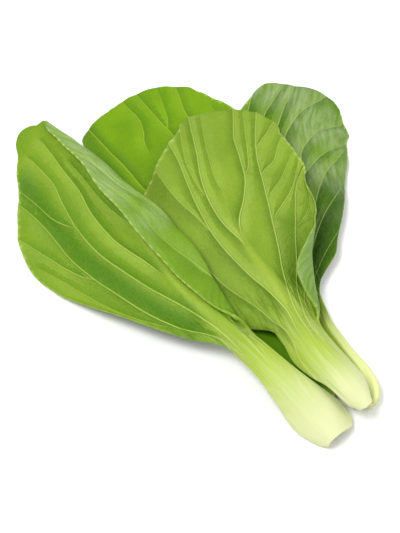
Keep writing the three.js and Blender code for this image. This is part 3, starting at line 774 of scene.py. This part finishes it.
def dressed_sheet(leaf):
    """The leaf's two faces with veins, puckers and a toothed margin, and the masks for its skin."""
    sheet = leaf_sheet(leaf, ROWS, HALF_COLUMNS)
    rounded_stalk(leaf, sheet)
    flat = sheet["flat"]
    share = sheet["share"]
    station = sheet["station"]
    curves = vein_curves(leaf)
    veins, vein_gap, ridge = vein_field(flat, curves)
    twigs, _, _ = vein_field(flat, twig_curves(leaf, curves))
    rib_width = along(leaf["rib"], station)
    gap = np.minimum(vein_gap, np.abs(np.abs(flat[..., 0]) - rib_width))
    start = leaf["blade_from"]
    blade = smoothstep(share, 1, 1.25) * smoothstep(station, start - 8, start + 12)
    outer = 1 if leaf["outer_face_up"] else -1
    pucker = PUCKER * (1 - np.exp(-((gap / PUCKER_REACH) ** 2)) - 0.5)
    swell = SWELL_HEIGHT * undulation(flat, leaf["name"] + " swell")
    normal = sheet["normal"]
    point = sheet["point"] + normal * (blade * (swell - outer * pucker))[..., None]
    point, teeth = toothed(point, sheet, blade)
    ridge = VEIN_HEIGHT * ridge
    blade_share = np.clip(share - 1, 0, 1)
    thickness = sheet["thickness"] - MARGIN_THINS * blade * blade_share**2
    thickness = thickness * rounding(sheet["edge_gap"], thickness)
    outer_face = thickness * (1 - INNER_SHARE) + ridge
    inner_face = thickness * INNER_SHARE - RIDGE_INSIDE * ridge
    upper = point + normal * (outer_face if outer > 0 else inner_face)[..., None]
    lower = point - normal * (inner_face if outer > 0 else outer_face)[..., None]
    upper[..., 2] = np.maximum(upper[..., 2], FLAT_SPOT_SKIN)
    lower[..., 2] = np.maximum(lower[..., 2], 0)
    centre = np.array([*PILE_CENTRE, 0])
    masks = skin_masks(leaf, sheet, veins, twigs, teeth)
    upper = np.clip((upper - centre) * MM, *cad_box)
    lower = np.clip((lower - centre) * MM, *cad_box)
    return upper, lower, masks


def softened(values, rounds):
    """Values smoothed across the leaf, with its two margins kept where they are."""
    values = values.copy()
    for _ in range(rounds):
        values[:, 1:-1] = 0.25 * values[:, :-2] + 0.5 * values[:, 1:-1] + 0.25 * values[:, 2:]
    return values


def rounded_stalk(leaf, sheet):
    """The stalk's sharp bend along its midline and the foot of its swelling, made round."""
    start = leaf["blade_from"]
    on_stalk = 1 - smoothstep(sheet["station"], start - 24, start - 4)
    for key in ("point", "normal"):
        sheet[key] = lerp(sheet[key], softened(sheet[key], leaf["stalk_rounds"]), on_stalk[..., None])
    sheet["normal"] = unit(sheet["normal"])
    thickness = softened(sheet["thickness"], SWELL_SMOOTHS)
    sheet["thickness"] = lerp(thickness, softened(thickness, leaf["stalk_rounds"]), on_stalk)


def rounding(edge_gap, thickness):
    """How much of the thickness is left near the margin, so that its edge is round."""
    inland = np.clip(edge_gap / (thickness / 2), 0, 1)
    return np.maximum(np.sqrt(1 - (1 - inland) ** 2), RIM_LEAST)


def toothed(point, sheet, blade):
    """The margin drawn in between small teeth, and a mask for the tip of each tooth."""
    outward = np.gradient(point, axis=1)
    outward[:, : outward.shape[1] // 2] *= -1
    outward = unit(outward)
    along_margin = sheet["flat"][..., 1]
    phase = along_margin / TOOTH_SPACING + 0.35 * np.sin(along_margin / 7.3)
    valley = 0.5 - 0.5 * np.cos(2 * math.pi * phase)
    near = np.clip(1 - sheet["edge_gap"] / TOOTH_REACH, 0, 1) ** 1.5
    drawn = point - outward * (TOOTH_DEPTH * blade * near * valley)[..., None]
    tips = np.clip(1 - valley * 3.2, 0, 1) * np.clip(1.4 - sheet["edge_gap"] / 0.7, 0, 1) * blade
    return drawn, tips


def skin_masks(leaf, sheet, veins, twigs, teeth):
    """Values over the leaf that its skin's colours and relief are made from."""
    share = sheet["share"]
    place = sheet["flat"][..., 1]
    blade_from = leaf["blade_from"]
    length = midrib_length(leaf)
    on_stalk = 1 - smoothstep(place, blade_from - 26, blade_from + 12)
    off_rib = smoothstep(share, 1, 1.22) * smoothstep(place, blade_from - 16, blade_from + 4)
    stalk = on_stalk * (1 - 0.85 * off_rib)
    base = 1 - smoothstep(place, 2, leaf["white_to"])
    # On a leaf lying inner side up, the white is kept off the middle of the stalk's hollow, so that it
    # stays darker as painted shade.
    if not leaf["outer_face_up"]:
        base = base * smoothstep(share, 0.5, 1)
    up_the_blade = smoothstep(place, blade_from, length * 0.8)
    midrib = 0.5 * (1 - smoothstep(share, 0.1, 0.85)) * (1 - up_the_blade)
    shine = smoothstep(place, leaf["shine_from"] - 14, leaf["shine_from"] + 14)
    rim = np.clip(1 - sheet["edge_gap"] / 0.9, 0, 1)
    pleats_end = smoothstep(place, blade_from + 6, blade_from + 26)
    pleated = smoothstep(place, blade_from - 20, blade_from) * (1 - pleats_end)
    pleated = pleated * smoothstep(share, 0.25, 0.8)
    return {
        "growth": np.stack([stalk, base, midrib], -1),
        "veins": np.stack(veins, -1),
        "twigs": np.stack(twigs, -1),
        "edge": np.stack([rim, teeth, shine], -1),
        "shade": np.stack([valley_shade(leaf, sheet["flat"]), pleated, np.zeros_like(share)], -1),
        "flat": np.concatenate([sheet["flat"], np.zeros_like(sheet["flat"][..., :1])], -1),
    }


def leaf_body(leaf):
    """The leaf as one closed mesh: a fine grid, extruded to a slab and laid on the two faces."""
    upper, lower, masks = dressed_sheet(leaf)
    rows, columns = upper.shape[:2]
    bm = bmesh.new()
    bmesh.ops.create_grid(bm, x_segments=columns - 1, y_segments=rows - 1, size=0.5)
    sheet_faces = bm.faces[:]
    cells = np.array([(vert.co.x + 0.5, vert.co.y + 0.5) for vert in bm.verts])
    raised = bmesh.ops.extrude_face_region(bm, geom=sheet_faces, use_keep_orig=True)
    for vert in (part for part in raised["geom"] if isinstance(part, bmesh.types.BMVert)):
        vert.co.z = 0.1
    bmesh.ops.recalc_face_normals(bm, faces=bm.faces[:])
    name_faces(bm, leaf["outer_face_up"])
    mesh = bpy.data.meshes.new(leaf["name"])
    bm.to_mesh(mesh)
    bm.free()
    places = np.empty(len(mesh.vertices) * 3)
    mesh.vertices.foreach_get("co", places)
    places = places.reshape(-1, 3)
    column = np.rint((places[:, 0] + 0.5) * (columns - 1)).astype(int)
    row = np.rint((places[:, 1] + 0.5) * (rows - 1)).astype(int)
    on_top = places[:, 2] > 0.05
    laid = np.where(on_top[:, None], upper[row, column], lower[row, column])
    mesh.vertices.foreach_set("co", laid.ravel())
    for name, values in masks.items():
        layer = mesh.attributes.new(name, "FLOAT_VECTOR", "POINT")
        layer.data.foreach_set("vector", values[row, column].ravel())
    mesh.update()
    body = bpy.data.objects.new(leaf["name"] + "_body", mesh)
    bpy.context.scene.collection.objects.link(body)
    return body


def name_faces(bm, outer_face_up):
    """Material 0 for the outer side, 1 for the inner side, 2 for the cut end, with crisp cut edges."""
    up, down = (0, 1) if outer_face_up else (1, 0)
    for face in bm.faces:
        face.smooth = True
        if abs(face.normal.z) > 0.5:
            face.material_index = up if face.normal.z > 0 else down
        elif face.normal.y < -0.5:
            face.material_index = 2
            for edge in face.edges:
                edge.smooth = abs(edge.verts[0].co.z - edge.verts[1].co.z) > 0.05
        else:
            face.material_index = 0


def add_node(tree, kind, inputs=None, **settings):
    """A node with its settings, and its sockets set to values or linked to other sockets."""
    node = tree.nodes.new(kind)
    for key, value in settings.items():
        setattr(node, key, value)
    for key, value in (inputs or {}).items():
        if isinstance(value, bpy.types.NodeSocket):
            tree.links.new(value, node.inputs[key])
        else:
            node.inputs[key].default_value = value
    return node


def maths(tree, operation, *values, clamp=False):
    sockets = dict(enumerate(values))
    node = add_node(tree, "ShaderNodeMath", sockets, operation=operation, use_clamp=clamp)
    return node.outputs[0]


def product(tree, first, second, *others):
    """Two or more values multiplied together."""
    total = maths(tree, "MULTIPLY", first, second)
    for value in others:
        total = maths(tree, "MULTIPLY", total, value)
    return total


def blend(tree, share, first, second):
    """A colour between two, by a share from 0 to 1."""
    node = add_node(tree, "ShaderNodeMix", data_type="RGBA")
    for index, value in ((0, share), (6, first), (7, second)):
        if isinstance(value, bpy.types.NodeSocket):
            tree.links.new(value, node.inputs[index])
        else:
            node.inputs[index].default_value = value
    return node.outputs[2]


def ramp(tree, value, low, high):
    """0 below low, 1 above high and smooth between them."""
    node = add_node(tree, "ShaderNodeMapRange", {"Value": value, "From Min": low, "From Max": high})
    node.interpolation_type = "SMOOTHSTEP"
    return node.outputs["Result"]


def split(tree, name):
    """The three values of a mask that the mesh carries."""
    mask = add_node(tree, "ShaderNodeAttribute", attribute_name=name)
    return add_node(tree, "ShaderNodeSeparateXYZ", {0: mask.outputs["Vector"]}).outputs


def leaf_skin_group():
    """Colours with painted shade, highlights and sheen, gloss and fine relief of a leaf from base to
    margin, for either side.
    """
    tree = bpy.data.node_groups.new("leaf_skin", "ShaderNodeTree")
    for name in COLOURS:
        tree.interface.new_socket(name, in_out="INPUT", socket_type="NodeSocketColor")
    for name in SHOWS:
        tree.interface.new_socket(name, in_out="INPUT", socket_type="NodeSocketFloat")
    tree.interface.new_socket("Colour", in_out="OUTPUT", socket_type="NodeSocketColor")
    for name in ("Roughness", "Height"):
        tree.interface.new_socket(name, in_out="OUTPUT", socket_type="NodeSocketFloat")
    given = tree.nodes.new("NodeGroupInput").outputs
    result = tree.nodes.new("NodeGroupOutput").inputs
    seen = skin_patterns(tree)
    colour = blade_colour(tree, given, seen)
    colour = vein_colour(tree, given, seen, colour)
    colour = stalk_colour(tree, given, seen, colour)
    colour = margin_colour(tree, given, seen, colour)
    tree.links.new(colour, result["Colour"])
    grain = maths(tree, "SUBTRACT", seen["grain"], 0.5)
    rough = maths(tree, "MULTIPLY_ADD", grain, 0.16, given["Gloss"])
    rough = maths(tree, "MULTIPLY_ADD", seen["stalk"], -0.08, rough, clamp=True)
    tree.links.new(rough, result["Roughness"])
    tree.links.new(skin_height(tree, seen), result["Height"])
    return tree


def skin_patterns(tree):
    """The mesh's masks and the skin's patterns, by name."""
    stalk, base, midrib = split(tree, "growth")
    rim, tooth, shine = split(tree, "edge")
    side, _, strength = split(tree, "veins")
    valley, pleated, _ = split(tree, "shade")
    flat = add_node(tree, "ShaderNodeAttribute", attribute_name="flat").outputs["Vector"]
    blade = maths(tree, "SUBTRACT", 1.0, stalk, clamp=True)
    main, gap = vein_line(tree, "veins", 0.45)
    twig, _ = vein_line(tree, "twigs", 0.24)
    return {
        "stalk": stalk, "base": base, "midrib": midrib, "rim": rim, "tooth": tooth, "shine": shine,
        "side": side, "strength": strength, "valley": valley, "pleated": pleated,
        "blade": blade, "main": main, "gap": gap, "twig": twig,
        "patches": noise(tree, flat, 0.045, 3),
        "grain": noise(tree, flat, 1.6, 3),
        "quilt": noise(tree, flat, 0.3, 2),
        "net": product(tree, net_of_veins(tree, flat), blade),
        "streaks": stalk_streaks(tree, flat),
        "pleats": pleat_lines(tree, flat),
        "sheen_streaks": sheen_streak_mask(tree, flat),
    }


def blade_colour(tree, given, seen):
    """The blade, darker in patches and grain, with painted shade at veins and valleys, painted highlights
    and sheen.
    """
    mottle = product(tree, ramp(tree, seen["patches"], 0.35, 0.68), given["Mottle"])
    colour = blend(tree, mottle, given["Blade"], given["Deep And Shade"])
    grain = maths(tree, "SUBTRACT", seen["grain"], 0.5)
    shaded = maths(tree, "MULTIPLY_ADD", grain, 0.5, 0.12, clamp=True)
    colour = blend(tree, shaded, colour, given["Deep And Shade"])
    side = product(tree, seen["side"], given["Shade Side"])
    # Painted highlight: on the lit side of each vein the blade is blended towards the veins' paler green.
    lit = product(tree, ramp(tree, side, -0.1, -0.7), ramp(tree, seen["gap"], 7.0, 0.0), seen["strength"])
    lit = product(tree, lit, product(tree, seen["blade"], 0.32))
    colour = blend(tree, lit, colour, given["Vein And Highlight"])
    # Painted shade: on the other side of each vein the blade is blended towards the darker green.
    beside = product(tree, ramp(tree, seen["gap"], 5.0, -1.0), ramp(tree, side, 0.1, 0.7))
    beside = product(tree, beside, seen["strength"])
    beside = maths(tree, "MULTIPLY", beside, seen["blade"], clamp=True)
    colour = blend(tree, beside, colour, given["Deep And Shade"])
    # Painted shade in the blade's valleys.
    valley = maths(tree, "MULTIPLY", seen["valley"], seen["blade"], clamp=True)
    colour = blend(tree, valley, colour, given["Deep And Shade"])
    # Painted sheen: a pale highlight colour blended over the blade in streaks, where the waxy skin would
    # reflect light.
    painted_sheen = product(tree, seen["sheen_streaks"], given["Sheen Show"], seen["shine"])
    return blend(tree, painted_sheen, colour, given["Sheen"])


def vein_colour(tree, given, seen, colour):
    """Pale lines of veins, twigs and net over the blade."""
    lines = maths(tree, "MULTIPLY_ADD", seen["twig"], 0.22, seen["main"], clamp=True)
    lines = maths(tree, "MULTIPLY", lines, given["Vein Show"], clamp=True)
    lines = maths(tree, "MULTIPLY_ADD", seen["net"], given["Net Show"], lines, clamp=True)
    return blend(tree, lines, colour, given["Vein And Highlight"])


def stalk_colour(tree, given, seen, colour):
    """The pale stalk and midrib, white at the base, with pleats, painted shade along their folds, and
    fibres.
    """
    stalk = seen["stalk"]
    pale = maths(tree, "SUBTRACT", seen["streaks"], 0.5)
    pale = maths(tree, "MULTIPLY_ADD", pale, 0.35, stalk, clamp=True)
    pale = maths(tree, "MAXIMUM", product(tree, pale, ramp(tree, stalk, 0.0, 0.3)), seen["midrib"])
    colour = blend(tree, pale, colour, given["Stalk"])
    whitened = product(tree, seen["base"], ramp(tree, stalk, 0.5, 1.0))
    colour = blend(tree, whitened, colour, given["Base"])
    # Painted shade in the folds between the pleats.
    crease_shade = product(tree, seen["pleated"], ramp(tree, seen["pleats"], 0.54, 0.34), 0.6)
    colour = blend(tree, crease_shade, colour, given["Deep And Shade"])
    fibres = maths(tree, "MAXIMUM", seen["main"], ramp(tree, seen["streaks"], 0.48, 0.72))
    return blend(tree, product(tree, fibres, stalk, 0.4), colour, given["Base"])


def margin_colour(tree, given, seen, colour):
    """The paler rim of the blade and the dots at the tips of its teeth."""
    colour = blend(tree, product(tree, seen["rim"], seen["blade"], 0.35), colour, given["Vein And Highlight"])
    dots = maths(tree, "MULTIPLY", seen["tooth"], given["Tooth Show"], clamp=True)
    return blend(tree, dots, colour, TOOTH_TIP)


def vein_line(tree, name, width):
    """1 on the nearest vein and 0 beside it, and the distance to it in mm."""
    signed, plain, strength = split(tree, name)
    off_line = maths(tree, "SUBTRACT", plain, 0.7)
    gap = maths(tree, "MAXIMUM", maths(tree, "ABSOLUTE", signed), off_line)
    reach = maths(tree, "MULTIPLY", maths(tree, "SQRT", strength), width)
    share = maths(tree, "DIVIDE", gap, reach)
    line = maths(tree, "MULTIPLY", ramp(tree, share, 1.5, 0.2), strength, clamp=True)
    return line, gap


def skin_height(tree, seen):
    """Relief of veins, net, grain, fibres, pleats and quilting, as a share of the vein's height."""
    height = maths(tree, "MULTIPLY_ADD", seen["twig"], 0.4, seen["main"])
    height = maths(tree, "MULTIPLY_ADD", seen["net"], 0.16, height)
    height = maths(tree, "MULTIPLY_ADD", seen["grain"], 0.1, height)
    height = maths(tree, "ADD", height, product(tree, seen["streaks"], seen["stalk"], 0.5))
    pleats = product(tree, seen["pleats"], seen["pleated"])
    height = maths(tree, "MULTIPLY_ADD", pleats, 2.4, height)
    quilt = product(tree, seen["quilt"], seen["blade"])
    return maths(tree, "MULTIPLY_ADD", quilt, 1.3, height)


def sheen_streak_mask(tree, flat):
    """Where a painted sheen shows in drawn-out streaks on the waxy skin, from 0 to 1."""
    drawn = add_node(tree, "ShaderNodeMapping", {"Vector": flat, "Scale": (0.5, 0.07, 1)})
    bands = noise(tree, drawn.outputs["Vector"], 1.0, 4)
    patches = noise(tree, flat, 0.035, 1)
    return maths(tree, "MULTIPLY", ramp(tree, bands, 0.15, 0.85), ramp(tree, patches, 0.33, 0.58))


def noise(tree, place, scale, detail):
    node = add_node(tree, "ShaderNodeTexNoise", {"Vector": place, "Scale": scale, "Detail": detail})
    return node.outputs["Fac"]


def net_of_veins(tree, flat):
    """Lines of the finest veins, between cells about 2.6 mm and 1 mm wide."""
    total = None
    for scale, width, weight in ((0.36, 0.11, 0.7), (0.95, 0.13, 0.4)):
        sockets = {"Vector": flat, "Scale": scale}
        cells = add_node(tree, "ShaderNodeTexVoronoi", sockets, feature="DISTANCE_TO_EDGE")
        line = maths(tree, "MULTIPLY", ramp(tree, cells.outputs["Distance"], width, 0.0), weight)
        total = line if total is None else maths(tree, "ADD", total, line, clamp=True)
    return total


def pleat_lines(tree, flat):
    """Fine folds side by side, where the blade runs out into the stalk."""
    drawn = add_node(tree, "ShaderNodeMapping", {"Vector": flat, "Scale": (0.62, 0.055, 1)})
    return noise(tree, drawn.outputs["Vector"], 1.0, 2)


def stalk_streaks(tree, flat):
    """Fibres that run along the stalk."""
    drawn = add_node(tree, "ShaderNodeMapping", {"Vector": flat, "Scale": (0.75, 0.03, 1)})
    return noise(tree, drawn.outputs["Vector"], 1.0, 3)


def skin(name, group, colours, shows, subsurface, coat):
    """One side of a leaf: colours are blade, deep, vein, stalk, base and sheen, shows the strengths; deep
    also paints shade, vein a highlight, and sheen is painted.
    """
    material = bpy.data.materials.new(name)
    material.use_nodes = True
    tree = material.node_tree
    surface = tree.nodes["Principled BSDF"]
    look = add_node(tree, "ShaderNodeGroup", node_tree=group)
    for key, value in zip(COLOURS, colours):
        look.inputs[key].default_value = (*linear(*value), 1)
    for key, value in zip(SHOWS, shows):
        look.inputs[key].default_value = value
    bump = {"Height": look.outputs["Height"], "Distance": BUMP_HEIGHT, "Strength": 1.0}
    relief = add_node(tree, "ShaderNodeBump", bump)
    tree.links.new(look.outputs["Colour"], surface.inputs["Base Color"])
    tree.links.new(look.outputs["Roughness"], surface.inputs["Roughness"])
    tree.links.new(relief.outputs["Normal"], surface.inputs["Normal"])
    surface.inputs["Subsurface Weight"].default_value = subsurface
    surface.inputs["Subsurface Radius"].default_value = (0.7, 1.0, 0.25)
    surface.inputs["Subsurface Scale"].default_value = 0.0012
    surface.inputs["Specular IOR Level"].default_value = SPECULAR
    surface.inputs["Coat Weight"].default_value = coat
    surface.inputs["Coat Roughness"].default_value = 0.38
    return material


def linear(red, green, blue):
    """A colour given as it looks, from 0 to 255, in the linear values that the shader takes."""
    values = [channel / 255 for channel in (red, green, blue)]
    return tuple(v / 12.92 if v <= 0.04045 else ((v + 0.055) / 1.055) ** 2.4 for v in values)


def outer_skin(leaf, group):
    colours = (*leaf["outer_colours"], STALK_COLOUR, BASE_COLOUR, SHEEN_HIGHLIGHT)
    shows = (*OUTER_SHOWS, leaf["shade_side"])
    return skin(leaf["name"] + "_outer_skin", group, colours, shows, 0.1, 0.0)


def inner_skin(leaf, group):
    colours = (*leaf["inner_colours"], *leaf["inner_stalk"], SHEEN_HIGHLIGHT)
    shows = (*INNER_SHOWS, leaf["inner_sheen"], leaf["shade_side"])
    return skin(leaf["name"] + "_inner_skin", group, colours, shows, 0.08, 0.1 * leaf["inner_sheen"])


def cut_flesh():
    """The wet cut end, with the dots of its fibre bundles."""
    material = bpy.data.materials.new("cut_flesh")
    material.use_nodes = True
    tree = material.node_tree
    surface = tree.nodes["Principled BSDF"]
    place = add_node(tree, "ShaderNodeTexCoord").outputs["Object"]
    cells = add_node(tree, "ShaderNodeTexVoronoi", {"Vector": place, "Scale": 420})
    dots = product(tree, ramp(tree, cells.outputs["Distance"], 0.32, 0.1), 0.5)
    colour = blend(tree, dots, (*linear(*FLESH_COLOUR), 1), (*linear(*BUNDLE_COLOUR), 1))
    tree.links.new(colour, surface.inputs["Base Color"])
    surface.inputs["Roughness"].default_value = 0.35
    surface.inputs["Subsurface Weight"].default_value = 0.2
    surface.inputs["Subsurface Radius"].default_value = (0.8, 1.0, 0.4)
    surface.inputs["Subsurface Scale"].default_value = 0.002
    return material


def dress(leaf, group, flesh):
    """A finished leaf in place of its plain solid."""
    body = leaf_body(leaf)
    body.data.materials.append(outer_skin(leaf, group))
    body.data.materials.append(inner_skin(leaf, group))
    body.data.materials.append(flesh)
    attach(body, "root")
    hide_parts(leaf["name"])
    return body


def add_camera():
    azimuth = math.radians(CAMERA_AZIMUTH)
    elevation = math.radians(CAMERA_ELEVATION)
    back = Vector((
        math.sin(azimuth) * math.cos(elevation),
        -math.cos(azimuth) * math.cos(elevation),
        math.sin(elevation),
    ))
    target = Vector((-PILE_CENTRE[0], -PILE_CENTRE[1], TARGET_HEIGHT)) * MM
    distance = PICTURE_HEIGHT * SCALE_PER_PIXEL * CAMERA_LENS / CAMERA_SENSOR * MM
    lens = bpy.data.cameras.new("camera")
    lens.sensor_fit = "VERTICAL"
    lens.sensor_height = CAMERA_SENSOR
    lens.lens = CAMERA_LENS
    lens.clip_start = 0.01
    camera = bpy.data.objects.new("camera", lens)
    camera.location = target + back * distance
    camera.rotation_euler = back.to_track_quat("Z", "Y").to_euler()
    bpy.context.scene.collection.objects.link(camera)
    bpy.context.scene.camera = camera


def add_light(name, place, size, power):
    """A soft square lamp that shines at the pile."""
    lamp = bpy.data.lights.new(name, "AREA")
    lamp.size = size
    lamp.energy = power
    holder = bpy.data.objects.new(name, lamp)
    holder.location = place
    holder.rotation_euler = Vector(place).to_track_quat("Z", "Y").to_euler()
    bpy.context.scene.collection.objects.link(holder)


def add_studio():
    bm = bmesh.new()
    bmesh.ops.create_grid(bm, x_segments=1, y_segments=1, size=FLOOR_REACH)
    mesh = bpy.data.meshes.new("floor")
    bm.to_mesh(mesh)
    bm.free()
    floor = bpy.data.objects.new("floor", mesh)
    floor.location.z = -FLOOR_DROP
    bpy.context.scene.collection.objects.link(floor)
    paper = bpy.data.materials.new("pale_paper")
    paper.use_nodes = True
    surface = paper.node_tree.nodes["Principled BSDF"]
    surface.inputs["Base Color"].default_value = (0.9, 0.9, 0.9, 1)
    surface.inputs["Roughness"].default_value = 0.9
    mesh.materials.append(paper)
    world = bpy.data.worlds.new("studio")
    world.use_nodes = True
    room = world.node_tree.nodes["Background"]
    room.inputs["Color"].default_value = (1, 1, 1, 1)
    room.inputs["Strength"].default_value = ROOM_BRIGHTNESS
    bpy.context.scene.world = world
    for name, place, size, power in LAMPS:
        add_light(name, place, size, power)


def main():
    add_camera()
    add_studio()
    group = leaf_skin_group()
    flesh = cut_flesh()
    for leaf in (FRONT_LEFT, FRONT_MIDDLE, BACK_LEFT, BACK_RIGHT):
        dress(leaf, group, flesh)
    bpy.context.scene.view_settings.view_transform = "Standard"


main()
